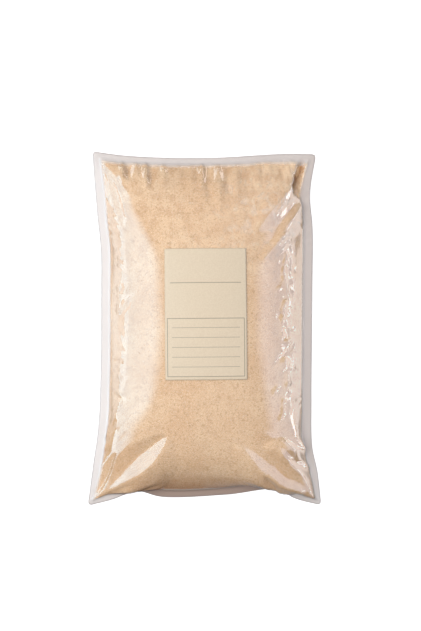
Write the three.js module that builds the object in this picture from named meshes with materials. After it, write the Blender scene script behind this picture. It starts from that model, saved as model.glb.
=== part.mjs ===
// A clear flat pouch filled with ground celeriac root, lying on its back on a table.
//
// Two plain webs of film, front and back, are heat sealed together along all four sides. The powder
// between them pushes them apart, which draws the sides of the pouch in and leaves its corners
// standing out. A paper label is stuck to the front web.
//
// Millimetres. X runs across the pouch, +Y towards its top end, +Z up, away from the table.
// The origin is on the table, under the middle of the pouch.

import * as THREE from "three";

// The pouch laid out flat, before it is filled
const FLAT_WIDTH = 200;
const FLAT_LENGTH = 300;
const SEAL_WIDTH = 8;
const CORNER_RADIUS = 4;

// The webs. The film is drawn thicker than real film, and a hairline apart where it is sealed.
const FILM = 0.4;
const SEAL_GAP = 0.3;
const POWDER_GAP = 0.3;

// The filled body
const CROWN = 32; // how far the front web stands above the seam where the pouch is fullest
const FULLER_AT_FOOT = 0.13; // the powder has settled towards the foot, by this share of the crown
const REST_PRESS = 1.12; // the back web would sink this far past the table if the table let it

// The shape of a web from its middle, 0, to its seal, 1: (1 - t^flat)^round
const FRONT_ACROSS = { flat: 2.2, round: 0.6 };
const FRONT_ALONG = { flat: 3.4, round: 0.55 };
const BACK_ACROSS = { flat: 9, round: 0.6 };
const BACK_ALONG = { flat: 13, round: 0.6 };

// Puckers run in from the seals, where the film has more length than its path
const PUCKER_DEPTH = 0.1; // share of the local height
const PUCKER_REACH = 26;
const PUCKERS_ACROSS = 6;
const PUCKERS_ALONG = 8;

// Folds in the front web: a straight trough or ridge with round ends
const FOLDS = [
  { from: [80, 134], to: [66, 104], width: 8, depth: 6 },
  { from: [86, 104], to: [44, 62], width: 9, depth: 3 },
  { from: [-88, -138], to: [-34, -96], width: 9, depth: 3.5 },
  { from: [-86, -118], to: [-52, -78], width: 9, depth: -2 },
  { from: [88, -136], to: [34, -94], width: 9, depth: 3 },
  { from: [84, -112], to: [50, -84], width: 8, depth: 3 },
];

// The label
const LABEL_WIDTH = 67;
const LABEL_LENGTH = 108;
const LABEL_THICKNESS = 0.3;
const LABEL_GAP = 0.5;
const LABEL_CENTRE = [1.2, 11.8];
const LABEL_TURN = THREE.MathUtils.degToRad(0.5);
const LABEL_STEPS = [12, 18];

// The edge of the filled pouch, as four curves through points on it
const curve = (...points) =>
  new THREE.CatmullRomCurve3(points.map((p) => new THREE.Vector3(...p)), false, "centripetal");

const FOOT_LEFT = [-98.9, -149.5, 7];
const FOOT_RIGHT = [98.9, -149, 7];
const HEAD_LEFT = [-95, 149.5, 15];
const HEAD_RIGHT = [94.5, 147, 15];
const LEFT_EDGE = curve(
  FOOT_LEFT, [-94.3, -116, 13], [-89.6, -84, 17], [-87.6, -40, 18],
  [-87.2, 30, 17], [-87.6, 66, 16], [-91, 100, 15], HEAD_LEFT,
);
const RIGHT_EDGE = curve(
  FOOT_RIGHT, [95.6, -121, 12], [91, -100, 16], [90.2, -60, 18],
  [91, 30, 17], [91.4, 84, 15], [89.4, 114, 14], HEAD_RIGHT,
);
const FOOT_EDGE = curve(
  FOOT_LEFT, [-78.5, -145.5, 11], [-57, -137.5, 15], [-36, -141, 14],
  [20, -140, 14], [60, -136, 15], [78, -145, 11], FOOT_RIGHT,
);
const HEAD_EDGE = curve(
  HEAD_LEFT, [-68.6, 146, 14], [-37, 144.2, 14], [7, 144, 14], [69, 147.4, 14], HEAD_RIGHT,
);

// Lines of the mesh across and along the flat pouch, closer together beside the seals
function meshLines(length, step) {
  const bands = [0, CORNER_RADIUS, SEAL_WIDTH, SEAL_WIDTH + 1.5, SEAL_WIDTH + 4, SEAL_WIDTH + 8];
  const inner = bands.at(-1);
  const count = Math.round((length - 2 * inner) / step);
  const lines = [...bands];
  for (let k = 1; k < count; k++) {
    lines.push(inner + ((length - 2 * inner) * k) / count);
  }
  return [...lines, ...bands.map((d) => length - d).reverse()];
}
const ACROSS = meshLines(FLAT_WIDTH, 8.4);
const ALONG = meshLines(FLAT_LENGTH, 9.6);
const SEAL_LINES = 3; // lines of each side that lie on the seal, its inner edge the last of them

// Rounds the corners of the flat pouch: squares round a corner's centre become circles
function roundCorner([across, along]) {
  const x = across < FLAT_WIDTH / 2 ? CORNER_RADIUS : FLAT_WIDTH - CORNER_RADIUS;
  const y = along < FLAT_LENGTH / 2 ? CORNER_RADIUS : FLAT_LENGTH - CORNER_RADIUS;
  const dx = across - x;
  const dy = along - y;
  const outside = dx * Math.sign(x - FLAT_WIDTH / 2) > 0 && dy * Math.sign(y - FLAT_LENGTH / 2) > 0;
  if (!outside) return [across, along];
  const shrink = Math.max(Math.abs(dx), Math.abs(dy)) / Math.hypot(dx, dy);
  return [x + dx * shrink, y + dy * shrink];
}

// The seam surface, spanned between the four edges (a Coons patch)
function seamPoint(across, along) {
  const [a, b] = roundCorner([across, along]);
  const u = a / FLAT_WIDTH;
  const v = b / FLAT_LENGTH;
  const point = new THREE.Vector3();
  const add = (p, share) => point.addScaledVector(p, share);
  add(FOOT_EDGE.getPointAt(u), 1 - v);
  add(HEAD_EDGE.getPointAt(u), v);
  add(LEFT_EDGE.getPointAt(v), 1 - u);
  add(RIGHT_EDGE.getPointAt(v), u);
  add(new THREE.Vector3(...FOOT_LEFT), -(1 - u) * (1 - v));
  add(new THREE.Vector3(...FOOT_RIGHT), -u * (1 - v));
  add(new THREE.Vector3(...HEAD_LEFT), -(1 - u) * v);
  add(new THREE.Vector3(...HEAD_RIGHT), -u * v);
  return point;
}

// From -1 at one seal to 1 at the other, held there on the seals themselves
function acrossSeals(distance, length) {
  const half = length / 2;
  return THREE.MathUtils.clamp((distance - half) / (half - SEAL_WIDTH), -1, 1);
}
const rise = (t, { flat, round }) => (1 - Math.abs(t) ** flat) ** round;

function pucker(s, t) {
  const sideways = (1 - Math.abs(s)) * (FLAT_WIDTH / 2);
  const endways = (1 - Math.abs(t)) * (FLAT_LENGTH / 2);
  const acrossWave = Math.cos(Math.PI * PUCKERS_ACROSS * s) * Math.exp(-endways / PUCKER_REACH);
  const alongWave = Math.cos(Math.PI * PUCKERS_ALONG * t) * Math.exp(-sideways / PUCKER_REACH);
  const slackHead = t > 0 ? 1 : 0.35;
  return 1 + PUCKER_DEPTH * slackHead * (acrossWave + alongWave);
}

function foldDepth(x, y) {
  return FOLDS.reduce((sum, { from, to, width, depth }) => {
    const run = [to[0] - from[0], to[1] - from[1]];
    const along = ((x - from[0]) * run[0] + (y - from[1]) * run[1]) / (run[0] ** 2 + run[1] ** 2);
    const nearest = THREE.MathUtils.clamp(along, 0, 1);
    const away = Math.hypot(x - from[0] - nearest * run[0], y - from[1] - nearest * run[1]);
    return sum + depth * Math.exp(-((away / width) ** 2));
  }, 0);
}

// The inside faces of the two webs at a place on the flat pouch
function webs(across, along) {
  const seam = seamPoint(across, along);
  const s = acrossSeals(across, FLAT_WIDTH);
  const t = acrossSeals(along, FLAT_LENGTH);
  const plump = rise(s, FRONT_ACROSS) * rise(t, FRONT_ALONG);
  const crown = CROWN * (1 - FULLER_AT_FOOT * t);
  const front = crown * plump * pucker(s, t) - foldDepth(seam.x, seam.y) * Math.min(1, 2 * plump);
  const sink = seam.z * REST_PRESS * rise(s, BACK_ACROSS) * rise(t, BACK_ALONG);
  const floor = FILM + SEAL_GAP / 2;
  return {
    front: new THREE.Vector3(seam.x, seam.y, seam.z + SEAL_GAP / 2 + Math.max(front, 0)),
    back: new THREE.Vector3(seam.x, seam.y, Math.max(seam.z - sink, floor) - SEAL_GAP / 2),
  };
}

const grid = (make) => ALONG.map((along) => ACROSS.map((across) => make(across, along)));
const FRONT_INSIDE = grid((across, along) => webs(across, along).front);
const BACK_INSIDE = grid((across, along) => webs(across, along).back);

// Upward normals of a grid of points
function normals(points) {
  const at = (j, i) => points[j]?.[i];
  return points.map((row, j) =>
    row.map((p, i) => {
      const u = (at(j, i + 1) ?? p).clone().sub(at(j, i - 1) ?? p);
      const v = (at(j + 1, i) ?? p).clone().sub(at(j - 1, i) ?? p);
      return u.cross(v).normalize();
    }),
  );
}

// A grid moved along its normals
function offset(points, distance) {
  const normal = normals(points);
  return points.map((row, j) => row.map((p, i) => p.clone().addScaledVector(normal[j][i], distance)));
}

// One closed body between an upper and a lower grid of the same size
function slab(upper, lower) {
  const rows = upper.length;
  const columns = upper[0].length;
  const position = [upper, lower].flat(2).flatMap((p) => p.toArray());
  const index = [];
  const quad = (a, b, c, d) => index.push(a, b, c, a, c, d);
  const top = (j, i) => j * columns + i;
  const under = (j, i) => rows * columns + top(j, i);
  for (let j = 0; j + 1 < rows; j++) {
    for (let i = 0; i + 1 < columns; i++) {
      quad(top(j, i), top(j, i + 1), top(j + 1, i + 1), top(j + 1, i));
      quad(under(j, i), under(j + 1, i), under(j + 1, i + 1), under(j, i + 1));
    }
  }
  const rim = [];
  for (let i = 0; i + 1 < columns; i++) rim.push([0, i]);
  for (let j = 0; j + 1 < rows; j++) rim.push([j, columns - 1]);
  for (let i = columns - 1; i > 0; i--) rim.push([rows - 1, i]);
  for (let j = rows - 1; j > 0; j--) rim.push([j, 0]);
  rim.forEach((here, k) => {
    const next = rim[(k + 1) % rim.length];
    quad(under(...here), under(...next), top(...next), top(...here));
  });
  const geometry = new THREE.BufferGeometry();
  geometry.setAttribute("position", new THREE.Float32BufferAttribute(position, 3));
  geometry.setIndex(index);
  geometry.computeVertexNormals();
  return geometry;
}

function piece(name, geometry, look) {
  const mesh = new THREE.Mesh(geometry, new THREE.MeshStandardMaterial(look));
  mesh.name = name;
  return mesh;
}

// The two webs of film
function makeFilms() {
  const look = { color: 0xe4dfe2, roughness: 0.08, metalness: 0, transparent: true, opacity: 0.3 };
  return [
    piece("film_front", slab(offset(FRONT_INSIDE, FILM), FRONT_INSIDE), look),
    piece("film_back", slab(BACK_INSIDE, offset(BACK_INSIDE, -FILM)), look),
  ];
}

// The powder fills the pouch from seal to seal
function makePowder() {
  const inside = (points) => points.slice(SEAL_LINES, -SEAL_LINES).map((row) => row.slice(SEAL_LINES, -SEAL_LINES));
  const upper = inside(offset(FRONT_INSIDE, -POWDER_GAP));
  const lower = inside(offset(BACK_INSIDE, POWDER_GAP));
  return piece("powder", slab(upper, lower), { color: 0xe2c1a0, roughness: 0.95, metalness: 0 });
}

// The label follows the front web that it is stuck to
function makeLabel(film) {
  film.updateMatrixWorld();
  const down = new THREE.Vector3(0, 0, -1);
  const ray = new THREE.Raycaster();
  const [across, along] = LABEL_STEPS;
  const placed = (height) =>
    Array.from({ length: along + 1 }, (_, j) =>
      Array.from({ length: across + 1 }, (_, i) => {
        const corner = new THREE.Vector2(LABEL_WIDTH * (i / across - 0.5), LABEL_LENGTH * (j / along - 0.5));
        const spot = corner.rotateAround(new THREE.Vector2(), LABEL_TURN);
        const above = new THREE.Vector3(spot.x + LABEL_CENTRE[0], spot.y + LABEL_CENTRE[1], 3 * CROWN);
        ray.set(above, down);
        const hit = ray.intersectObject(film)[0].point;
        return hit.setZ(hit.z + LABEL_GAP + height);
      }),
    );
  const geometry = slab(placed(LABEL_THICKNESS), placed(0));
  return piece("label", geometry, { color: 0xe8d8bf, roughness: 0.7, metalness: 0 });
}

const pouch = new THREE.Group();
const [filmFront, filmBack] = makeFilms();
pouch.add(filmFront, filmBack, makePowder(), makeLabel(filmFront));

export default pouch;
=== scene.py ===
import math

import bpy
import numpy as np
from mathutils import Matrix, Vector


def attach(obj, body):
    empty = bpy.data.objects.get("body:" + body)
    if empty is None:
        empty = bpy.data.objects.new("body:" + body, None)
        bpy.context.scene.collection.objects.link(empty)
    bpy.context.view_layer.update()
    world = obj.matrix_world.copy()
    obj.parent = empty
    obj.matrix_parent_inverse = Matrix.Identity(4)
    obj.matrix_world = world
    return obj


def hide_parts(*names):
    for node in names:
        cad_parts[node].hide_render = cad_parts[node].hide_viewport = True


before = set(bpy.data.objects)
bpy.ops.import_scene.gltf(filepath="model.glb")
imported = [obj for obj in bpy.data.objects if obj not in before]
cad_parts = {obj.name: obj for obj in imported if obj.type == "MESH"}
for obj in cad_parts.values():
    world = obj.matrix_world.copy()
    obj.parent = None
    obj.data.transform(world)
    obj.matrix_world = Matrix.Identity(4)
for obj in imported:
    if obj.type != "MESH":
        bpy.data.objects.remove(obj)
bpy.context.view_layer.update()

MM = 0.001

# A clear pouch of ground celeriac root. Lengths are in millimetres until a mesh is made.
# A place on the pouch is often given as it was flat: (across, along), from its foot's left corner.

# The pouch laid out flat
WIDTH, LENGTH = 200.0, 300.0
SEAL = 8.0
CORNER = 4.0
# The powder has crept this far into the seals: at the corners (across, along, how far), head and foot
CREPT_CORNERS = [(0, 0, 4.6), (WIDTH, 0, 4.6), (0, LENGTH, 2.0), (WIDTH, LENGTH, 3.4)]
CREPT_REACH = 28
CREPT_HEAD = 3.2
CREPT_FOOT = 2.2

# The filled body, as in the part's source, but for its foot, which reaches up to 2 mm further
CROWN = 32.0
FULLER_AT_FOOT = 0.13
REST_PRESS = 1.12
# How the crown and the flat patch that it rests on fall off: flatness of the middle, roundness of the rim
CROWN_ACROSS, CROWN_ALONG = (2.2, 0.6), (3.4, 0.55)
PRESS_ACROSS, PRESS_ALONG = (9, 0.6), (13, 0.6)
FILL = 1.70e6  # cubic millimetres between the webs
FOOT_LEFT, FOOT_RIGHT = (-99.4, -151.3, 7), (99.4, -150.8, 7)
HEAD_LEFT, HEAD_RIGHT = (-95, 149.5, 15), (94.5, 147, 15)
LEFT_EDGE = [FOOT_LEFT, (-94.3, -116, 13), (-89.6, -84, 17), (-87.6, -40, 18),
             (-87.2, 30, 17), (-87.6, 66, 16), (-91, 100, 15), HEAD_LEFT]
RIGHT_EDGE = [FOOT_RIGHT, (95.6, -121, 12), (91, -100, 16), (90.2, -60, 18),
              (91, 30, 17), (91.4, 84, 15), (89.4, 114, 14), HEAD_RIGHT]
FOOT_EDGE = [FOOT_LEFT, (-78.5, -145.5, 11), (-57, -138, 15), (-36, -142.8, 14),
             (20, -140.8, 14), (60, -136.5, 15), (78, -145, 11), FOOT_RIGHT]
HEAD_EDGE = [HEAD_LEFT, (-68.6, 146, 14), (-37, 144.2, 14), (7, 144, 14), (69, 147.4, 14), HEAD_RIGHT]

# What Blender shows: thin film, with the powder close behind it
FILM = 0.16
WEBS_APART = 0.12  # at least this much between the webs' inner faces, upwards
POWDER_GAP = 0.3
POWDER_LEAST = 0.4  # the powder is nowhere thinner
CELL = 1.25
EVEN_PASSES = 60  # passes of smooth() that leave the pouch's shape and none of its wrinkles

# Folds pressed into the front web, each a line across the pouch seen from above, (x, y), with the
# height of its crest, or depth if below zero, and how far it runs out to the left and to the right
# of someone who walks along the line
FOOT_LEFT_FOLDS = [
    ([(-93, -150), (-57, -109.3), (-32, -89)], -5.0, 13, 13),
    ([(-92, -148), (-57, -125.5), (-42, -110.8), (-30, -90)], 3.5, 13, 24),
    ([(-97, -149), (-85, -127), (-74, -104)], -2.6, 6, 3),
]
FOOT_RIGHT_FOLDS = [
    ([(94, -148), (79.2, -122.7), (71.6, -114.7), (60, -100)], 4.2, 11, 12),
    ([(84, -138), (62, -129), (47, -118), (27, -95)], 4.6, 18, 8),
    ([(84, -138), (66, -131), (52, -121)], 2.0, 8, 6),
    ([(91, -101.5), (50, -99)], 4.5, 12, 11),
    ([(40, -84), (56, -91), (72, -97)], 1.3, 5, 5),
    ([(62, -137), (56, -129), (50, -122)], -2.5, 5, 5),
]
HEAD_RIGHT_FOLDS = [
    ([(85, 149), (80, 127.4), (75, 112)], -12.0, 5, 4),
    ([(73, 122), (79, 115), (86, 109)], -5.0, 3.5, 3.5),
    ([(90, 144), (85, 130), (80, 118)], 3.0, 3.5, 3),
    ([(78, 124), (68, 114), (57, 100), (41, 80)], 3.6, 12, 10),
    ([(86, 111), (75, 95), (68, 85.4), (57, 70)], 3.0, 12, 5),
    ([(70, 82), (60, 70), (47, 57)], 2.2, 9, 5),
    ([(68, 108), (62, 99), (56, 91)], 1.1, 2.5, 2.5),
]
HEAD_LEFT_FOLDS = [
    ([(-81, 131), (-72, 108), (-65, 86)], -0.8, 3, 3),
    ([(-78, 117), (-72, 100), (-66.5, 83)], -0.7, 3, 3),
    ([(-57, 115), (-52, 113)], 0.9, 2.5, 2.5),
]
FLANK_FOLDS = [
    ([(-71, 28), (-64, 27.5), (-57, 30)], -1.0, 2.5, 2.5),
    ([(-71, 12), (-65, 17), (-61, 24)], -1.0, 2.5, 2.5),
    ([(-77, -28), (-68, -26)], -1.0, 2.5, 2.5),
    ([(-76, -54), (-70, -59), (-64, -60)], -1.0, 2.5, 2.5),
    ([(70, 57), (66, 37), (71, 27), (65, 13), (69, 4), (65, -5), (72, -13), (75, -15)], 0.9, 4, 4),
    ([(75, -14), (65, -23), (55, -35)], -1.0, 3, 3),
    ([(72, -30), (68, -45), (72, -61), (70, -75)], 0.8, 4, 4),
]
# Where the film's own wrinkles are smoothed: centre and radii seen from above
CALM = [((76, 97), (17, 26)), ((-82, -105), (14, 30))]
CALM_FULLER = 1.6  # above one, so that the middle of each place is smoothed in full
CALM_FROM_SEAL = 6
# Creases that zigzag down each flank: place across, its spread, from and to along, count, height
ZIGZAGS = [(66, 4, 66, -78, 22, 1.5), (73, 3, 80, -70, 24, 1.1), (-71, 2.5, 70, -84, 24, 0.8)]
ZIGZAG_UNEVEN = 2  # how far a corner may stray up or down
ZIGZAG_LOWEST = 0.3  # the lowest crest's share of the height
# Short crinkles there: the same, each crossing the flank
CRINKLES = [(68, 4, 74, -72, 40, 1.5), (-70, 3, 60, -80, 10, 0.8)]
CRINKLE_TURN = 0.6  # radians, a usual turn away from straight across
CRINKLE_HALF = 2.5, 6  # least and greatest half length
CREASE_HALF = 2.2
FOLD_ENDS = 0.6  # a fold's ends are slender towards 1 and blunt towards 0
FOLDS_FROM_SEAL = 4  # folds fade out over this distance from the seals
# Powder is tucked away in folds deeper than this and painted dark there as shade, wholly so this much deeper
FOLD_SHADE_FROM, FOLD_SHADE_OVER = 5, 4
# Puckers below the head seal: their upper end, what is added to every reach, and their lean
PUCKER_TOP, PUCKER_MORE, PUCKER_LEAN = 143, 5, 0.06
# Each pucker: place across, reach down, height, half width
HEAD_PUCKERS = [
    (-70, 20, 2.2, 3.5), (-64, 15, -1.8, 4), (-58, 13, 1.2, 4), (-50, 22, 2.8, 3.5), (-45, 22, -1.8, 4),
    (-35, 24, 1.4, 4), (-22, 16, 0.8, 4), (-12, 26, 0.8, 4.5), (-3, 22, 1.6, 4), (3, 38, -1.5, 5),
    (11, 46, 1.8, 4.5), (19, 30, -1.2, 4), (26, 34, 1.3, 4), (35, 26, -0.8, 4), (44, 24, 0.8, 4),
    (54, 12, 1.0, 4), (65, 15, -1.0, 4),
]

# How much longer than its path the front web is, in places: centre, radii, share
SLACK = [
    ((68, 0), (16, 75), 0.02),
    ((66, 95), (22, 30), 0.02),
    ((0, 132), (85, 14), 0.015),
    ((-68, 0), (14, 80), 0.008),
    ((70, -118), (20, 24), 0.015),
    ((-70, -118), (20, 24), 0.01),
]
SLACK_UNEVEN = 0.006
SLACK_BLUR = 30  # this many passes of smooth() with cells of 1 mm, fewer with larger cells
HEAD_NARROWER = 0.05  # the head is this much narrower than the rest, down to about here
HEAD_NARROWER_REACH = 45

# The relaxation
DEPTH_PUSH = 0.0008  # more push for each millimetre below the top
FIRST_PUSH, LEAST_PUSH = 0.01, -0.5
PUSH_GAIN = 0.1  # how fast the push answers a wrong volume
KEPT_SPEED = 0.9
FURTHEST_STEP = 0.3  # in cells
SHEAR_STIFF, BEND_STIFF = 0.5, 0.05
LYING = 0.05  # film lower than this grips the table

# The label
LABEL_WIDTH, LABEL_LENGTH = 67.0, 108.0
LABEL_CENTRE = (1.2, 11.8)
LABEL_TURN = math.radians(0.5)
LABEL_THICKNESS = 0.25
LABEL_GAP = 0.35
LABEL_EVEN_PASSES = 12  # passes of smooth() that leave only the waves that the paper follows
RULE_HALF, RULE_UP, RULE_THICK = 29.0, 25.5, 0.6
BOX_HALF, BOX_LOW, BOX_HIGH, BOX_LINES = 31.8, -51.5, -3.2, 6
LINE_INSET, LINE_THICK = 4, 0.6 * RULE_THICK
INK_COVER = 0.6

# The powder's rim: how far it stays from the seals, and how much that wavers
RIM_GAP, RIM_WAVER = 0.5, 0.2
HEAD_RIM_GAP, HEAD_RIM_WAVER = 0.8, 0.35
RIM_WAVES = 2.3  # half waves along a side, in its longest waver
RIM_WAVERS = 8  # wavers on top of each other, each shorter and slighter
HEAD_RIM_FINER = 3

# How dark the film looks along each side, from 0 to 1, and how softly one side's gives way to the next
SHADE_REACH = 6
LEFT_SHADE = 0.05
RIGHT_SHADE, RIGHT_PALER, RIGHT_PALER_REACH = 0.5, 0.35, 50  # paler towards the foot
FOOT_SHADE, FOOT_DARKER = 0.35, 0.65
FOOT_DARKER_FROM, FOOT_DARKER_TO = 42, 165  # across
HEAD_SHADE, HEAD_DARKER = 0.3, 0.1  # darker towards the right
EMPTY_OVER = 2.6  # the film clears over this distance inwards of the powder's rim, twice this at the head
LOOSE = (148, 246, 42, 34)  # where the film stands off the powder, with painted reflection there: flat place and radii

# How the powder's colour changes: painted shade, and mottling
FOOT_PAINTED_SHADE, FOOT_PAINTED_SHADE_REACH = 0.09, 75  # painted shade, a little browner towards the foot
FOOT_SHADOW_LINE, FOOT_SHADOW_REACH = 0.8, 1.5  # painted shadow, dark along the foot seal
BELLY_SHADE, BELLY_REACH = 0.7, 22  # shaded by its own bulge, this far up from the foot seal
BELLY_FROM, BELLY_TO = 38, 168  # across
MOTTLED_REACH = 80  # mottled near the head, this far down
FADE_IN, FADE_OUT = 10, 12  # how softly a stretch across begins and ends

rng = np.random.default_rng(4)


# Curves and surfaces

def spline(points, samples=60):
    """A centripetal Catmull-Rom curve: dense points on it, and their shares of its length."""
    p = np.array(points, float)
    p = np.vstack([2 * p[0] - p[1], p, 2 * p[-1] - p[-2]])
    out = []
    for k in range(1, len(p) - 2):
        a, b, c, d = p[k - 1:k + 3]
        gaps = [np.linalg.norm(q - r) ** 0.5 for q, r in ((b, a), (c, b), (d, c))]
        t = np.cumsum([0] + gaps)
        s = np.linspace(t[1], t[2], samples, endpoint=False)[:, None]

        def blend(left, right, i, j):
            return ((t[j] - s) * left + (s - t[i]) * right) / (t[j] - t[i])

        ab, bc, cd = blend(a, b, 0, 1), blend(b, c, 1, 2), blend(c, d, 2, 3)
        out.append(blend(blend(ab, bc, 0, 2), blend(bc, cd, 1, 3), 1, 2))
    out = np.vstack(out + [p[-2:-1]])
    run = np.concatenate([[0], np.cumsum(np.linalg.norm(np.diff(out, axis=0), axis=1))])
    return out, run / run[-1]


def along(curve, share):
    """Points at these shares of a curve's length."""
    points, run = curve
    return np.stack([np.interp(share, run, points[:, k]) for k in range(3)], -1)


EDGES = [spline(edge) for edge in (LEFT_EDGE, RIGHT_EDGE, FOOT_EDGE, HEAD_EDGE)]
CORNERS = [np.array(p, float) for p in (FOOT_LEFT, FOOT_RIGHT, HEAD_LEFT, HEAD_RIGHT)]


def round_corner(a, b):
    """Rounds the corners of the flat pouch."""
    x = np.where(a < WIDTH / 2, CORNER, WIDTH - CORNER)
    y = np.where(b < LENGTH / 2, CORNER, LENGTH - CORNER)
    dx, dy = a - x, b - y
    outside = (dx * np.sign(x - WIDTH / 2) > 0) & (dy * np.sign(y - LENGTH / 2) > 0)
    shrink = np.maximum(abs(dx), abs(dy)) / np.maximum(np.hypot(dx, dy), 1e-9)
    return np.where(outside, x + dx * shrink, a), np.where(outside, y + dy * shrink, b)


def seam(a, b):
    """The seam surface, spanned between the four edges (a Coons patch)."""
    a, b = round_corner(a, b)
    u, v = (a / WIDTH)[..., None], (b / LENGTH)[..., None]
    left, right, foot, head = EDGES
    foot_left, foot_right, head_left, head_right = CORNERS
    ruled = (along(foot, u[..., 0]) * (1 - v) + along(head, u[..., 0]) * v
             + along(left, v[..., 0]) * (1 - u) + along(right, v[..., 0]) * u)
    corners = (foot_left * (1 - u) * (1 - v) + foot_right * u * (1 - v)
               + head_left * (1 - u) * v + head_right * u * v)
    return ruled - corners


def rise(t, flat, rounded):
    """A crown over -1 to 1: one in the middle, nothing at both ends."""
    return np.maximum(1 - abs(t) ** flat, 0) ** rounded


def flat_grid(cell):
    """Places on the flat pouch, (across, along), a cell apart."""
    return np.meshgrid(np.arange(0, WIDTH + cell / 2, cell), np.arange(0, LENGTH + cell / 2, cell))


def seal_distance(cell):
    """Distance from the nearest edge of the flat pouch."""
    a, b = flat_grid(cell)
    return np.minimum(np.minimum(a, WIDTH - a), np.minimum(b, LENGTH - b))


def crept(a, b):
    """How far the powder has crept into the seals near a flat place by a corner."""
    reach = CREPT_REACH ** 2
    return sum(most * np.exp(-((a - x) ** 2 + (b - y) ** 2) / reach) for x, y, most in CREPT_CORNERS)


def past_seals(cell):
    """Distance inwards from the inner edges of the seals."""
    a, b = flat_grid(cell)
    side = SEAL - crept(a, b)
    foot = np.minimum(side, SEAL - CREPT_FOOT)
    head = np.minimum(side, SEAL - CREPT_HEAD)
    return np.stack([a - side, WIDTH - a - side, b - foot, LENGTH - b - head]).min(0)


def stretch(a, first, last):
    """One between two places across, and fading to nothing within them."""
    return np.clip((a - first) / FADE_IN, 0, 1) * np.clip((last - a) / FADE_OUT, 0, 1)


def smooth(field, passes):
    """Blurs a grid with a small kernel, the rim held."""
    out = field.copy()
    for _ in range(passes):
        ring = out[:-2, 1:-1] + out[2:, 1:-1] + out[1:-1, :-2] + out[1:-1, 2:]
        out[1:-1, 1:-1] = 0.5 * out[1:-1, 1:-1] + 0.125 * ring
    return out


def plain_pouch(cell):
    """Both webs, front and back, much as the part's source has them, on a square grid of cells."""
    a, b = flat_grid(cell)
    s = np.clip((a - WIDTH / 2) / (WIDTH / 2 - SEAL), -1, 1)
    t = np.clip((b - LENGTH / 2) / (LENGTH / 2 - SEAL), -1, 1)
    webs = np.stack([seam(a, b)] * 2)
    webs[0, ..., 2] += CROWN * (1 - FULLER_AT_FOOT * t) * rise(s, *CROWN_ACROSS) * rise(t, *CROWN_ALONG)
    sink = REST_PRESS * rise(s, *PRESS_ACROSS) * rise(t, *PRESS_ALONG)
    webs[1, ..., 2] *= 1 - np.minimum(sink, 1)
    return webs


# Relaxing the film: each web keeps the lengths that it had when flat, so slack film buckles

def rest_lengths(cell):
    """Lengths that the film keeps for each cell of the two webs: (across, along)."""
    a, b = flat_grid(cell)
    x, y = a - WIDTH / 2, b - LENGTH / 2
    slack = smooth(rng.normal(0, 1, x.shape), int(SLACK_BLUR / cell))
    slack *= SLACK_UNEVEN / slack.std()
    for centre, radii, amount in SLACK:
        away = ((x - centre[0]) / radii[0]) ** 2 + ((y - centre[1]) / radii[1]) ** 2
        slack += amount * np.exp(-away)
    narrower = HEAD_NARROWER * np.exp(-((LENGTH - b) / HEAD_NARROWER_REACH) ** 2)
    both = np.stack([1 + slack, np.ones_like(slack)])
    return np.stack([both - narrower, both])


def pull(webs, dj, di, rest, stiff, j0, i0, sj, si):
    """Brings every pair of nodes that are (dj, di) apart towards its rest length."""
    nv, nu = webs.shape[1:3]
    first = max(i0, -di)
    a = webs[:, j0:nv - dj:sj, first:nu - max(di, 0):si]
    b = webs[:, j0 + dj::sj, first + di::si][:, :a.shape[1], :a.shape[2]]
    a = a[:, :, :b.shape[2]]
    wanted = rest[:, j0:nv - dj:sj, first:nu - max(di, 0):si][:, :, :b.shape[2], None]
    d = b - a
    length = np.sqrt((d * d).sum(-1, keepdims=True)) + 1e-9
    step = d * (0.5 * stiff * (1 - wanted / length))
    a += step
    b -= step


def hold_lengths(webs, rest):
    """One round over every edge, diagonal and pair of nodes two apart."""
    across, along_, diagonal = rest
    for o in (0, 1):
        pull(webs, 0, 1, across, 1.0, 0, o, 1, 2)
        pull(webs, 1, 0, along_, 1.0, o, 0, 2, 1)
    for o in (0, 1):
        pull(webs, 1, 1, diagonal, SHEAR_STIFF, o, 0, 2, 1)
        pull(webs, 1, -1, diagonal, SHEAR_STIFF, o, 0, 2, 1)
    for o in range(4):
        pull(webs, 0, 2, 2 * across, BEND_STIFF, 0, o, 1, 4)
        pull(webs, 2, 0, 2 * along_, BEND_STIFF, o, 0, 4, 1)


def quad_pressure(webs, inner, push):
    """The push of the powder on every node, more of it further below the top, and the volume inside."""
    a, b, c, d = webs[:, :-1, :-1], webs[:, :-1, 1:], webs[:, 1:, 1:], webs[:, 1:, :-1]
    area = 0.5 * np.cross(c - a, d - b)
    area[1] *= -1
    middle = 0.25 * (a + b + c + d)[..., 2]
    volume = (middle * area[..., 2])[:, inner].sum()
    amount = np.maximum(push + DEPTH_PUSH * (middle[0].max() - middle), 0) * inner
    force = np.zeros_like(webs)
    quarter = 0.25 * area * amount[..., None]
    for j in (slice(None, -1), slice(1, None)):
        for i in (slice(None, -1), slice(1, None)):
            force[:, j, i] += quarter
    return force, volume


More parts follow.
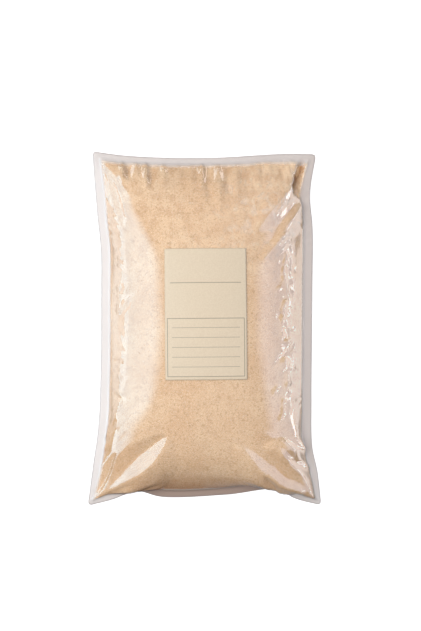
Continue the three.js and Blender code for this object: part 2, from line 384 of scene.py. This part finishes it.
def relax(webs, shares, cell, steps, rounds, weight, push, shake):
    """Lets the webs settle round the powder, and returns them with the push that holds the volume.

    The seals stay half-way between where they settle and the part's own seam."""
    past = past_seals(cell)
    band = past <= 0
    filled = past > -cell
    inner = filled[:-1, :-1] & filled[1:, :-1] & filled[:-1, 1:] & filled[1:, 1:]
    held = seam(*flat_grid(cell))[band]
    across, along_ = shares * cell
    rest = across, along_, np.hypot(across, along_)
    webs[:, ~band, 2] += rng.normal(0, shake, (2, (~band).sum()))
    speed = np.zeros_like(webs)
    for _ in range(steps):
        force, volume = quad_pressure(webs, inner, push)
        push = max(push + PUSH_GAIN * (FILL - volume) / FILL, LEAST_PUSH)
        force /= cell * cell
        force[..., 2] -= weight
        speed = (speed + force) * KEPT_SPEED
        old = webs.copy()
        webs += speed
        for _ in range(rounds):
            hold_lengths(webs, rest)
            both = 0.5 * (webs[0, band] + webs[1, band])
            webs[:, band] = 0.5 * (both + held)
            np.maximum(webs[1, ..., 2], 0, out=webs[1, ..., 2])
        lying = webs[..., 2] < LYING
        webs[lying, :2] = old[lying, :2]
        speed = webs - old
        size = np.sqrt((speed * speed).sum(-1, keepdims=True))
        speed *= np.minimum(1, FURTHEST_STEP * cell / np.maximum(size, 1e-9))
    return webs, push


def finer(webs):
    """Halves the cells, with cubic interpolation along each axis."""
    for axis in (1, 2):
        old = np.moveaxis(webs, axis, 0)
        new = np.zeros((2 * len(old) - 1,) + old.shape[1:])
        new[::2] = old
        between = 0.5 * (old[1:] + old[:-1])
        between[1:-1] = (9 * (old[1:-2] + old[2:-1]) - (old[:-3] + old[3:])) / 16
        new[1::2] = between
        webs = np.moveaxis(new, 0, axis)
    return np.ascontiguousarray(webs)


def filled_pouch():
    """The two webs after the film has found its wrinkles."""
    webs = plain_pouch(2 * CELL)
    shares = rest_lengths(2 * CELL)
    steps = 200
    webs, push = relax(webs, shares, 2 * CELL, steps, rounds=6, weight=0.0008, push=FIRST_PUSH, shake=0.4)
    webs = finer(webs)
    shares = np.stack([finer(share[..., None])[..., 0] for share in shares])
    webs, push = relax(webs, shares, CELL, 60, rounds=8, weight=0.0004, push=push, shake=0.1)
    return webs


# Folds

def beside(line, x, y):
    """Share of the way along a line, and distance to its left, of the line's nearest point to each place."""
    corners = np.array(line, float)
    runs = np.linalg.norm(np.diff(corners, axis=0), axis=1)
    start = np.concatenate([[0], np.cumsum(runs)])
    best = np.full(x.shape, np.inf)
    share, left = np.zeros(x.shape), np.zeros(x.shape)
    for k, run in enumerate(runs):
        dx, dy = (corners[k + 1] - corners[k]) / run
        px, py = x - corners[k, 0], y - corners[k, 1]
        t = np.clip(px * dx + py * dy, 0, run)
        away = np.hypot(px - t * dx, py - t * dy)
        near = away < best
        side = np.where(py * dx - px * dy < 0, -1, 1)
        share[near] = ((start[k] + t) / start[-1])[near]
        left[near] = (away * side)[near]
        best[near] = away[near]
    return share, left


def tent(line, height, to_left, to_right, x, y):
    """Height of a fold at each place: straight sides, and both ends drawn in to nothing."""
    share, left = beside(line, x, y)
    swell = np.clip(4 * share * (1 - share), 0, 1) ** FOLD_ENDS
    reach = np.where(left > 0, to_left, to_right) * swell
    return height * swell * np.maximum(1 - abs(left) / np.maximum(reach, 1e-6), 0)


def calmed(front):
    """Takes out the film's own small wrinkles where the folds below are to stand clear."""
    x, y = front[..., 0], front[..., 1]
    share = sum(np.exp(-((x - cx) / rx) ** 2 - ((y - cy) / ry) ** 2) for (cx, cy), (rx, ry) in CALM)
    share = np.clip(CALM_FULLER * share, 0, 1) * np.clip(past_seals(CELL) / CALM_FROM_SEAL, 0, 1)
    return front + (smooth(front, EVEN_PASSES) - front) * share[..., None]


def press_folds(front):
    """Adds the folds to the front web, along its normals, and none on the seals.

    Returns the web and how much painted shade each place gets from lying deep in a fold."""
    front = calmed(front)
    x, y = front[..., 0], front[..., 1]
    height = np.zeros(x.shape)
    for group in (FOOT_LEFT_FOLDS, FOOT_RIGHT_FOLDS, HEAD_RIGHT_FOLDS, HEAD_LEFT_FOLDS, FLANK_FOLDS):
        for line, top, to_left, to_right in group:
            height += tent(line, top, to_left, to_right, x, y)
    for across, reach, top, half in HEAD_PUCKERS:
        low_end = (across + PUCKER_LEAN * reach, PUCKER_TOP - PUCKER_MORE - reach)
        line = [(across, PUCKER_TOP), low_end]
        height += tent(line, top, half, half, x, y)
    for across, spread, high, low, count, top in ZIGZAGS:
        corners = np.stack([across + rng.uniform(-spread, spread, count), np.linspace(high, low, count)], -1)
        corners[:, 1] += rng.uniform(-ZIGZAG_UNEVEN, ZIGZAG_UNEVEN, count)
        for start, end in zip(corners, corners[1:]):
            crest = top * rng.uniform(ZIGZAG_LOWEST, 1)
            height += tent([start, end], crest, CREASE_HALF, CREASE_HALF, x, y)
    for across, spread, high, low, count, top in CRINKLES:
        for along_ in np.linspace(high, low, count):
            middle = np.array([across, along_]) + rng.normal(0, spread, 2)
            turn, half = rng.normal(0, CRINKLE_TURN), rng.uniform(*CRINKLE_HALF)
            run = half * np.array([math.cos(turn), math.sin(turn)])
            crest = top * rng.uniform(-1, 1)
            height += tent([middle - run, middle + run], crest, CREASE_HALF, CREASE_HALF, x, y)
    height *= np.clip(past_seals(CELL) / FOLDS_FROM_SEAL, 0, 1)
    height = smooth(height, 1)
    # Painted shade for the powder deep in a fold
    fold_shade = np.clip(-(height + FOLD_SHADE_FROM) / FOLD_SHADE_OVER, 0, 1)
    return front + normals(smooth(front, EVEN_PASSES)) * height[..., None], fold_shade


# Grids and meshes

def normals(points):
    """Unit normals of a grid of points, pointing up on a flat pouch."""
    u = np.zeros_like(points)
    v = np.zeros_like(points)
    u[:, 1:-1] = points[:, 2:] - points[:, :-2]
    u[:, 0], u[:, -1] = points[:, 1] - points[:, 0], points[:, -1] - points[:, -2]
    v[1:-1] = points[2:] - points[:-2]
    v[0], v[-1] = points[1] - points[0], points[-1] - points[-2]
    n = np.cross(u, v)
    return n / np.maximum(np.linalg.norm(n, axis=-1, keepdims=True), 1e-9)


def sample(grid, a, b, cell):
    """Bilinear values of a grid at flat places."""
    i = np.clip(a / cell, 0, grid.shape[1] - 1.001)
    j = np.clip(b / cell, 0, grid.shape[0] - 1.001)
    i0, j0 = i.astype(int), j.astype(int)
    s, t = (i - i0)[..., None], (j - j0)[..., None]
    low = grid[j0, i0] * (1 - s) + grid[j0, i0 + 1] * s
    high = grid[j0 + 1, i0] * (1 - s) + grid[j0 + 1, i0 + 1] * s
    return low * (1 - t) + high * t


def slab(name, upper, lower, fields=None):
    """A closed body between two grids of points of the same size, as a smooth-shaded object."""
    nv, nu = upper.shape[:2]
    count = nv * nu
    number = np.arange(count).reshape(nv, nu)
    a, b, c, d = number[:-1, :-1], number[:-1, 1:], number[1:, 1:], number[1:, :-1]
    top = np.stack([a, b, c, d], -1).reshape(-1, 4)
    under = top[:, ::-1] + count
    ring = np.concatenate([number[0, :-1], number[:-1, -1], number[-1, :0:-1], number[:0:-1, 0]])
    after = np.roll(ring, -1)
    rim = np.stack([ring + count, after + count, after, ring], -1)
    quads = np.vstack([top, under, rim]).astype(np.int32)
    points = np.vstack([upper.reshape(-1, 3), lower.reshape(-1, 3)]) * MM
    mesh = bpy.data.meshes.new(name)
    mesh.vertices.add(len(points))
    mesh.vertices.foreach_set("co", points.astype(np.float32).ravel())
    mesh.loops.add(quads.size)
    mesh.loops.foreach_set("vertex_index", quads.ravel())
    mesh.polygons.add(len(quads))
    mesh.polygons.foreach_set("loop_start", np.arange(0, quads.size, 4, dtype=np.int32))
    mesh.update(calc_edges=True)
    mesh.validate()
    mesh.shade_smooth()
    for key, values in (fields or {}).items():
        both = np.concatenate([values.ravel(), values.ravel()]).astype(np.float32)
        mesh.attributes.new(key, "FLOAT", "POINT").data.foreach_set("value", both)
    obj = bpy.data.objects.new(name, mesh)
    bpy.context.scene.collection.objects.link(obj)
    return obj


# Materials

class Nodes:
    """A short way to write a material's nodes."""

    def __init__(self, name):
        self.material = bpy.data.materials.new(name)
        self.material.use_nodes = True
        self.tree = self.material.node_tree
        self.tree.nodes.clear()

    @classmethod
    def of(cls, tree):
        """For the nodes of a light or of the world, which stay."""
        made = cls.__new__(cls)
        made.tree = tree
        return made

    def add(self, kind, inputs=None, **settings):
        node = self.tree.nodes.new("ShaderNode" + kind)
        for key, value in settings.items():
            setattr(node, key, value)
        for key, value in (inputs or {}).items():
            if isinstance(value, bpy.types.NodeSocket):
                self.tree.links.new(value, node.inputs[key])
            else:
                node.inputs[key].default_value = value
        return node

    def math(self, operation, a, b=0.0, c=0.0):
        return self.add("Math", {0: a, 1: b, 2: c}, operation=operation).outputs[0]

    def mix(self, factor, a, b):
        node = self.add("Mix", {0: factor, 6: a, 7: b}, data_type="RGBA")
        return node.outputs[2]

    def ramp(self, value, low, high, to_low=0.0, to_high=1.0):
        inputs = {0: value, 1: low, 2: high, 3: to_low, 4: to_high}
        return self.add("MapRange", inputs, interpolation_type="SMOOTHSTEP").outputs[0]

    def noise(self, scale, detail=2.0, where=None, **more):
        inputs = {"Scale": scale, "Detail": detail, **more}
        if where is not None:
            inputs["Vector"] = where
        return self.add("TexNoise", inputs).outputs["Fac"]

    def field(self, name):
        return self.add("Attribute", attribute_name=name).outputs["Fac"]

    def finish(self, shader):
        self.tree.links.new(shader, self.add("OutputMaterial").inputs[0])
        return self.material


def colour(red, green, blue):
    """A colour from its 0 to 255 sRGB values."""
    return tuple(((c / 255 + 0.055) / 1.055) ** 2.4 for c in (red, green, blue)) + (1.0,)


POWDER_DEEP = colour(241, 203, 157)
POWDER_PALE = colour(250, 219, 178)
POWDER_TAN = colour(227, 185, 138)
POWDER_BROWN = colour(206, 162, 112)
POWDER_WHITE = colour(255, 240, 216)
# Painted shade on the powder
POWDER_PAINTED_SHADE = colour(178, 118, 68)
SPECK = colour(182, 122, 66)
MARGIN = colour(250, 245, 243)
MARGIN_DARK = colour(174, 152, 140)
MARGIN_EDGE = colour(176, 166, 166)
LABEL_DEEP = colour(225, 206, 179)
LABEL_PALE = colour(231, 213, 187)
INK = colour(104, 84, 62)
# Pale haze over the powder, partly painted reflection
HAZE_AND_SHEEN = colour(255, 246, 232)


def powder_material():
    """Sandy meal with paler and browner grains, and painted shade that darkens it in deep folds, under the
    bulge and at the foot.
    """
    n = Nodes("ground_root")
    where = n.add("TexCoord").outputs["Object"]
    sand = n.noise(1200, 2, where)
    grain = n.noise(520, 3, where)
    clumps = n.noise(130, 3, where)
    drifts = n.noise(24, 3, where)
    base = n.mix(n.ramp(drifts, 0.3, 0.7), POWDER_DEEP, POWDER_PALE)
    mottled = n.math("ADD", n.math("MULTIPLY", n.field("loose"), 0.5), 0.4)
    base = n.mix(n.math("MULTIPLY", n.ramp(clumps, 0.4, 0.7), mottled), base, POWDER_TAN)
    base = n.mix(n.ramp(grain, 0.52, 0.72, 0, 0.6), base, POWDER_BROWN)
    base = n.mix(n.ramp(sand, 0.5, 0.7, 0, 0.5), base, POWDER_BROWN)
    base = n.mix(n.ramp(sand, 0.47, 0.3, 0, 0.5), base, POWDER_WHITE)
    specks = n.add("TexVoronoi", {"Vector": where, "Scale": 420.0}).outputs["Distance"]
    gate = n.noise(300, 0, where)
    speck = n.math("MULTIPLY", n.ramp(specks, 0.2, 0.1, 0, 0.8), n.ramp(gate, 0.62, 0.68))
    base = n.mix(speck, base, SPECK)
    # Painted shade: darker in deep folds, along the foot seal, under the bulge and towards the foot
    base = n.mix(n.math("MULTIPLY", n.field("painted_shade"), 0.8), base, POWDER_PAINTED_SHADE)
    height = n.math("ADD", n.math("MULTIPLY", grain, 0.5), clumps)
    bump = n.add("Bump", {"Height": height, "Strength": 0.35, "Distance": 0.0006}).outputs[0]
    shader = n.add("BsdfPrincipled", {"Base Color": base, "Roughness": 0.95, "Normal": bump})
    return n.finish(shader.outputs[0])


def film_material():
    """Clear over the powder but for pale wisps of painted reflection, milky where the two webs meet, dark
    along its cut edge.
    """
    n = Nodes("clear_film")
    empty = n.field("empty")
    where = n.add("TexCoord").outputs["Object"]
    upright = n.add("Mapping", {0: where, "Scale": (1, 0.6, 1)}).outputs[0]
    # Painted reflection: pale wisps of haze where the film stands off the powder, in place of glints from
    # its tilted facets
    line = n.math("ABSOLUTE", n.math("SUBTRACT", n.noise(70, 2, upright, Distortion=1.2), 0.5))
    patch = n.ramp(n.noise(90, 1, where), 0.45, 0.65)
    sheen_wisps = n.math("MULTIPLY", n.math("MULTIPLY", n.ramp(line, 0.12, 0.0), patch), n.field("loose"))
    haze_and_sheen = n.math("MULTIPLY_ADD", sheen_wisps, 0.22, n.math("MULTIPLY_ADD", n.field("loose"), 0.03, 0.03))
    lit_through = n.ramp(n.add("LightPath").outputs["Is Shadow Ray"], 0, 1, 1, 0.35)
    haze_amount = n.math("MULTIPLY", n.math("ADD", n.math("MULTIPLY", empty, 0.82), haze_and_sheen), lit_through)
    fresnel = n.add("Fresnel", {"IOR": 1.5}).outputs[0]
    outside = n.math("SUBTRACT", 1.0, n.add("NewGeometry").outputs["Backfacing"])
    shine = n.ramp(empty, 0.1, 0.6, 1.9, 0.6)
    gloss_amount = n.math("MULTIPLY", n.math("MULTIPLY", fresnel, outside), shine)
    tint = n.mix(n.field("shade"), MARGIN, MARGIN_DARK)
    tint = n.mix(n.ramp(n.field("edge"), 1.6, 0.4, 0, 0.3), tint, MARGIN_EDGE)
    # Pale over the powder, where the haze holds the painted reflection
    tint = n.mix(n.ramp(empty, 0.95, 0.2), tint, HAZE_AND_SHEEN)
    clear = n.add("BsdfTransparent", {"Color": (0.985, 0.98, 0.985, 1)}).outputs[0]
    haze = n.add("BsdfDiffuse", {"Color": tint}).outputs[0]
    gloss = n.add("BsdfGlossy", {"Color": (1, 1, 1, 1), "Roughness": 0.06}).outputs[0]
    body = n.add("MixShader", {0: haze_amount, 1: clear, 2: haze}).outputs[0]
    return n.finish(n.add("MixShader", {0: gloss_amount, 1: body, 2: gloss}).outputs[0])


def label_material():
    """Cream paper with plain ruled lines: one across, and a framed box of five to write on."""
    n = Nodes("label_paper")
    where = n.add("TexCoord").outputs["Object"]
    right, up = n.field("right"), n.field("up")
    fibre = n.noise(900, 4, where)
    base = n.mix(n.ramp(fibre, 0.3, 0.7), LABEL_DEEP, LABEL_PALE)

    def inside(value, low, high):
        return n.math("MULTIPLY", n.math("GREATER_THAN", value, low), n.math("LESS_THAN", value, high))

    def box(x0, y0, x1, y1):
        return n.math("MULTIPLY", inside(right, x0, x1), inside(up, y0, y1))

    ink = box(-RULE_HALF, RULE_UP, RULE_HALF, RULE_UP + RULE_THICK)
    x, low, high = BOX_HALF, BOX_LOW, BOX_HIGH
    frame_lines = n.math("SUBTRACT", box(-x, low, x, high),
                         box(-x + RULE_THICK, low + RULE_THICK, x - RULE_THICK, high - RULE_THICK))
    ink = n.math("MAXIMUM", ink, frame_lines)
    for k in range(1, BOX_LINES):
        y = low + (high - low) * k / BOX_LINES
        ink = n.math("MAXIMUM", ink, box(-x + LINE_INSET, y, x - LINE_INSET, y + LINE_THICK))
    base = n.mix(n.math("MULTIPLY", ink, INK_COVER), base, INK)
    bump = n.add("Bump", {"Height": fibre, "Strength": 0.1, "Distance": 0.0002}).outputs[0]
    shader = n.add("BsdfPrincipled", {"Base Color": base, "Roughness": 0.6, "Normal": bump})
    return n.finish(shader.outputs[0])


# Pieces

def dress(piece, node, material):
    """Gives a piece its material and says which solid it stands for."""
    piece.data.materials.append(material)
    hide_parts(node)
    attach(piece, "root")
    return piece


def powder_rim():
    """How far the powder stays from the edges: left and right by share along, foot and head across."""
    phase = rng.uniform(0, 2 * math.pi, (4, RIM_WAVERS + 1))

    def wobble(t, k):
        orders = range(1, RIM_WAVERS + 1)
        return sum(np.sin(RIM_WAVES * math.pi * m * t + phase[k, m]) / m for m in orders)

    def side(v, k):
        return SEAL + RIM_GAP + RIM_WAVER * wobble(v, k) - crept(k * WIDTH, LENGTH * v)

    def foot(u):
        away = np.maximum(crept(WIDTH * u, 0), CREPT_FOOT)
        return SEAL + RIM_GAP + RIM_WAVER * wobble(u, 2) - away

    def head(u):
        away = np.maximum(crept(WIDTH * u, LENGTH), CREPT_HEAD)
        return SEAL + HEAD_RIM_GAP + HEAD_RIM_WAVER * wobble(HEAD_RIM_FINER * u, 3) - away

    return (lambda v: side(v, 0)), (lambda v: side(v, 1)), foot, head


def film_fields(rim):
    """What the film's material reads: distance from its cut edge, how empty it is, how shaded."""
    a, b = flat_grid(CELL)
    u, v = a / WIDTH, b / LENGTH
    left, right, foot, head = (line(t) for line, t in zip(rim, (v, v, u, u)))
    past = np.stack([a - left, WIDTH - a - right, b - foot, 0.5 * (LENGTH - b - head)]).min(0)
    near = np.exp(-np.stack([a, WIDTH - a, b, LENGTH - b]) / SHADE_REACH)
    left_shade = np.full(a.shape, LEFT_SHADE)
    right_shade = RIGHT_SHADE - RIGHT_PALER * np.exp(-b / RIGHT_PALER_REACH)
    foot_shade = FOOT_SHADE + FOOT_DARKER * stretch(a, FOOT_DARKER_FROM, FOOT_DARKER_TO)
    shades = np.stack([left_shade, right_shade, foot_shade, HEAD_SHADE + HEAD_DARKER * u])
    shade = (near * shades).sum(0) / near.sum(0)
    loose = np.exp(-((a - LOOSE[0]) / LOOSE[2]) ** 2 - ((b - LOOSE[1]) / LOOSE[3]) ** 2)
    empty = np.clip(1 - past / EMPTY_OVER, 0, 1)
    return {"edge": seal_distance(CELL), "empty": empty, "shade": shade, "loose": loose}


def make_pouch():
    """Both webs, with the powder between them and the label on the front."""
    front, back = filled_pouch()
    front, fold_shade = press_folds(front)
    up_front, up_back = normals(front), normals(back)
    apart = np.zeros_like(front)
    apart[..., 2] = np.maximum(WEBS_APART - (front - back)[..., 2], 0) / 2
    front_in, back_in = front + apart, back - apart
    back_in[..., 2] = np.maximum(back_in[..., 2], FILM)
    film = film_material()
    rim = powder_rim()
    fields = film_fields(rim)
    outer = slab("front_web", front_in + up_front * FILM, front_in, fields)
    dress(outer, "film_front", film)
    dress(slab("back_web", back_in, back_in - up_back * FILM, fields), "film_back", film)
    make_powder(front_in, back_in, rim, fold_shade)
    make_label(front_in + up_front * FILM)


def make_powder(front, back, rim, fold_shade):
    """Powder up to its rim, which follows the film at a small gap."""
    u, v = np.meshgrid(np.arange(0, 1 + 1e-9, CELL / (WIDTH - 2 * SEAL)),
                       np.arange(0, 1 + 1e-9, CELL / (LENGTH - 2 * SEAL)))
    left, right, foot, head = (line(t) for line, t in zip(rim, (v, v, u, u)))
    a = left + (WIDTH - left - right) * u
    b = foot + (LENGTH - foot - head) * v
    up, even = normals(front), smooth(front, 2)
    proud = np.maximum(((even - front) * up).sum(-1, keepdims=True), 0)
    upper = sample(even - up * (POWDER_GAP + proud), a, b, CELL)
    lower = sample(back + normals(back) * POWDER_GAP, a, b, CELL)
    middle = 0.5 * (upper + lower)
    slim = (upper - lower)[..., 2] < POWDER_LEAST
    upper[slim, 2] = middle[slim, 2] + POWDER_LEAST / 2
    lower[slim, 2] = middle[slim, 2] - POWDER_LEAST / 2
    # Painted shade on the powder: a shadow line along the foot seal, shade under the bulge, darker towards
    # the foot, and the deepest folds
    from_foot = b - foot
    painted_shade = FOOT_SHADOW_LINE * np.exp(-from_foot / FOOT_SHADOW_REACH)
    painted_shade += BELLY_SHADE * stretch(a, BELLY_FROM, BELLY_TO) * np.clip(1 - from_foot / BELLY_REACH, 0, 1)
    painted_shade += FOOT_PAINTED_SHADE * np.exp(-(b / FOOT_PAINTED_SHADE_REACH) ** 2)
    painted_shade = np.maximum(np.clip(painted_shade, 0, 1), sample(fold_shade[..., None], a, b, CELL)[..., 0])
    loose = np.exp(-((b - LENGTH) / MOTTLED_REACH) ** 2)
    powder = slab("ground_root", upper, lower, {"painted_shade": painted_shade, "loose": loose})
    dress(powder, "powder", powder_material())


def make_label(film):
    """Paper that lies on the front web and bridges its smallest waves."""
    base = smooth(film, LABEL_EVEN_PASSES)
    shares = [np.linspace(-0.5, 0.5, round(size) + 1) for size in (LABEL_WIDTH, LABEL_LENGTH)]
    u, v = np.meshgrid(*shares)
    x, y = u * LABEL_WIDTH, v * LABEL_LENGTH
    cos, sin = math.cos(LABEL_TURN), math.sin(LABEL_TURN)
    gx, gy = x * cos - y * sin + LABEL_CENTRE[0], x * sin + y * cos + LABEL_CENTRE[1]
    a, b = gx + WIDTH / 2, gy + LENGTH / 2
    # Each round brings the flat places closer to those under the paper, seen from above
    for _ in range(8):
        here = sample(base, a, b, CELL)
        a, b = a + gx - here[..., 0], b + gy - here[..., 1]
    here = sample(base, a, b, CELL)
    normal = sample(normals(base), a, b, CELL)
    under = here + normal * LABEL_GAP
    label = slab("paper_label", under + normal * LABEL_THICKNESS, under, {"right": x, "up": y})
    dress(label, "label", label_material())


# Studio

# Lengths here are in metres
KEY = 2.72
KEY_PLACE, KEY_SIZE = (-0.6, 0.12, 1.25), 1.2
KEY_TINT = (1, 0.99, 0.98)
SKY = 0.17, 0.66  # radiance low down on the foot's side, and overhead
SKY_LEAN = 0.35  # how much the head's side counts as further up
SKY_TINT = (0.98, 0.99, 1, 1)
# Tints of what the film mirrors
LEFT_TINT = (0.5, 0.95, 1.25)
RIGHT_TINT = (0.78, 0.9, 1.18)
STRIP_TINT = (1, 0.98, 0.96)
LOW_LEFT_TINT = (0.73, 0.89, 1)
LOW_RIGHT_TINT = (1, 0.97, 1)
# Upright panels that the flanks mirror: name, side, middle along y, width and height, radiance, tint
PANELS = [("left_panel", -1, 0.05, (1.10, 1.65), 2.85, LEFT_TINT),
          ("right_panel", 1, -0.15, (1.4, 1.16), 2.0, RIGHT_TINT)]
PANEL_AWAY, PANEL_FOOT = 0.8, 0.03
PANEL_SOFT = 0.45  # the share of a panel over which its top fades, and its two sides together
# Low strips that the creases mirror: side, middle along y, width, radiance and tint
STRIPS = [(-1, 0.05, 1.0, 1.0, LOW_LEFT_TINT)]
STRIPS += [(1, 0.05 + 0.17 * k, 0.1, 5.5, STRIP_TINT) for k in range(-3, 4)]
STRIP_AWAY, STRIP_UP, STRIP_HEIGHT = 0.79, 0.09, 0.12
# The floor, and what the film mirrors of it on each side: from and to across, glow there, from and to along
FLOOR_HALF, FLOOR_GREY = 3, (0.4, 0.4, 0.4, 1)
FLOOR_GLOW = 1.0  # what the camera sees of the floor by itself
MIRRORED_LEFT = (-0.105, -0.16), (0.3, 2.7), (-0.16, 0.0)
MIRRORED_RIGHT = (0.105, 0.16), (0.3, 3.0), (-0.32, -0.16)
WHITE = (1, 1, 1, 1)
CAMERA_PLACE, CAMERA_LENS = (0.00507, 0.0106, 1.275), 85


def rectangle_light(name, where, turn, size, radiance, tint):
    """A light of this radiance that the camera doesn't see."""
    data = bpy.data.lights.new(name, "AREA")
    data.shape = "RECTANGLE"
    data.size, data.size_y = size
    data.energy = radiance * math.pi * size[0] * size[1]
    data.color = tint
    obj = bpy.data.objects.new(name, data)
    obj.location = where
    obj.rotation_euler = turn
    obj.visible_camera = False
    bpy.context.scene.collection.objects.link(obj)
    return obj


def beside_table(name, side, where, size, radiance, tint):
    """An upright light that faces the pouch from one side and is only mirrored."""
    turn = (math.pi / 2, 0, math.pi / 2 * side)
    obj = rectangle_light(name, where, turn, size, radiance, tint)
    obj.visible_diffuse = False
    return obj


def side_panel(name, side, middle, size, radiance, tint):
    """An upright panel, soft at its top, and less at its sides."""
    where = (PANEL_AWAY * side, middle, PANEL_FOOT + size[1] / 2)
    obj = beside_table(name, side, where, size, radiance, tint)
    obj.data.use_nodes = True
    n = Nodes.of(obj.data.node_tree)
    place = n.add("SeparateXYZ", {0: n.add("NewGeometry").outputs["Parametric"]}).outputs
    sides = n.ramp(n.math("PINGPONG", place[0], 0.5), 0, PANEL_SOFT / 2)
    top = n.ramp(place[1], 1, 1 - PANEL_SOFT)
    n.tree.links.new(n.math("MULTIPLY", sides, top), n.tree.nodes["Emission"].inputs["Strength"])


def make_floor():
    """White to the camera. The film mirrors it on both sides of the pouch, and not at the foot."""
    mesh = bpy.data.meshes.new("floor")
    h = FLOOR_HALF
    mesh.from_pydata([(-h, -h, 0), (h, -h, 0), (h, h, 0), (-h, h, 0)], [], [(0, 1, 2, 3)])
    floor = bpy.data.objects.new("floor", mesh)
    bpy.context.scene.collection.objects.link(floor)
    n = Nodes("white_table")
    path = n.add("LightPath").outputs
    place = n.add("SeparateXYZ", {0: n.add("TexCoord").outputs["Object"]}).outputs

    def beside(across, glow, along_):
        return n.math("MULTIPLY", n.ramp(place[0], *across, *glow), n.ramp(place[1], *along_))

    left, right = beside(*MIRRORED_LEFT), beside(*MIRRORED_RIGHT)
    on_right = n.math("GREATER_THAN", place[0], 0.0)
    beside_pouch = n.add("Mix", {0: on_right, 2: left, 3: right}).outputs[0]
    mirrored = n.math("MULTIPLY", path["Is Glossy Ray"], beside_pouch)
    glow = n.math("ADD", n.math("MULTIPLY", path["Is Camera Ray"], FLOOR_GLOW), mirrored)
    tint = n.mix(on_right, LOW_LEFT_TINT + (1,), LOW_RIGHT_TINT + (1,))
    tint = n.mix(path["Is Glossy Ray"], WHITE, tint)
    glow = n.add("Emission", {"Color": tint, "Strength": glow}).outputs[0]
    paint = n.add("BsdfDiffuse", {"Color": FLOOR_GREY}).outputs[0]
    both = n.add("AddShader", {0: glow, 1: paint}).outputs[0]
    only_glow = n.add("MixShader", {0: path["Is Glossy Ray"], 1: both, 2: glow}).outputs[0]
    mesh.materials.append(n.finish(only_glow))


def make_lights():
    """A key light that nothing mirrors, and panels and strips that are only mirrored."""
    for panel in PANELS:
        side_panel(*panel)
    for side, middle, width, radiance, tint in STRIPS:
        where = (STRIP_AWAY * side, middle, STRIP_UP)
        beside_table("strip", side, where, (width, STRIP_HEIGHT), radiance, tint)
    where = Vector(KEY_PLACE)
    turn = (-where).to_track_quat("-Z", "Y").to_euler()
    key = rectangle_light("key", where, turn, (KEY_SIZE, KEY_SIZE), KEY, KEY_TINT)
    key.visible_glossy = False


def make_sky():
    """Soft light from all round, brighter overhead and towards the head."""
    world = bpy.data.worlds.new("studio")
    world.use_nodes = True
    bpy.context.scene.world = world
    n = Nodes.of(world.node_tree)
    towards = n.add("SeparateXYZ", {0: n.add("TexCoord").outputs["Generated"]}).outputs
    height = n.math("ADD", towards[2], n.math("MULTIPLY", towards[1], SKY_LEAN))
    background = n.tree.nodes["Background"].inputs
    n.tree.links.new(n.ramp(height, 0, 1, *SKY), background["Strength"])
    background["Color"].default_value = SKY_TINT


def make_camera():
    """Looks straight down, as the photograph does."""
    data = bpy.data.cameras.new("camera")
    data.lens = CAMERA_LENS
    camera = bpy.data.objects.new("camera", data)
    camera.location = CAMERA_PLACE
    bpy.context.scene.collection.objects.link(camera)
    bpy.context.scene.camera = camera


make_camera()
make_pouch()
make_floor()
make_lights()
make_sky()
bpy.context.scene.view_settings.view_transform = "Standard"
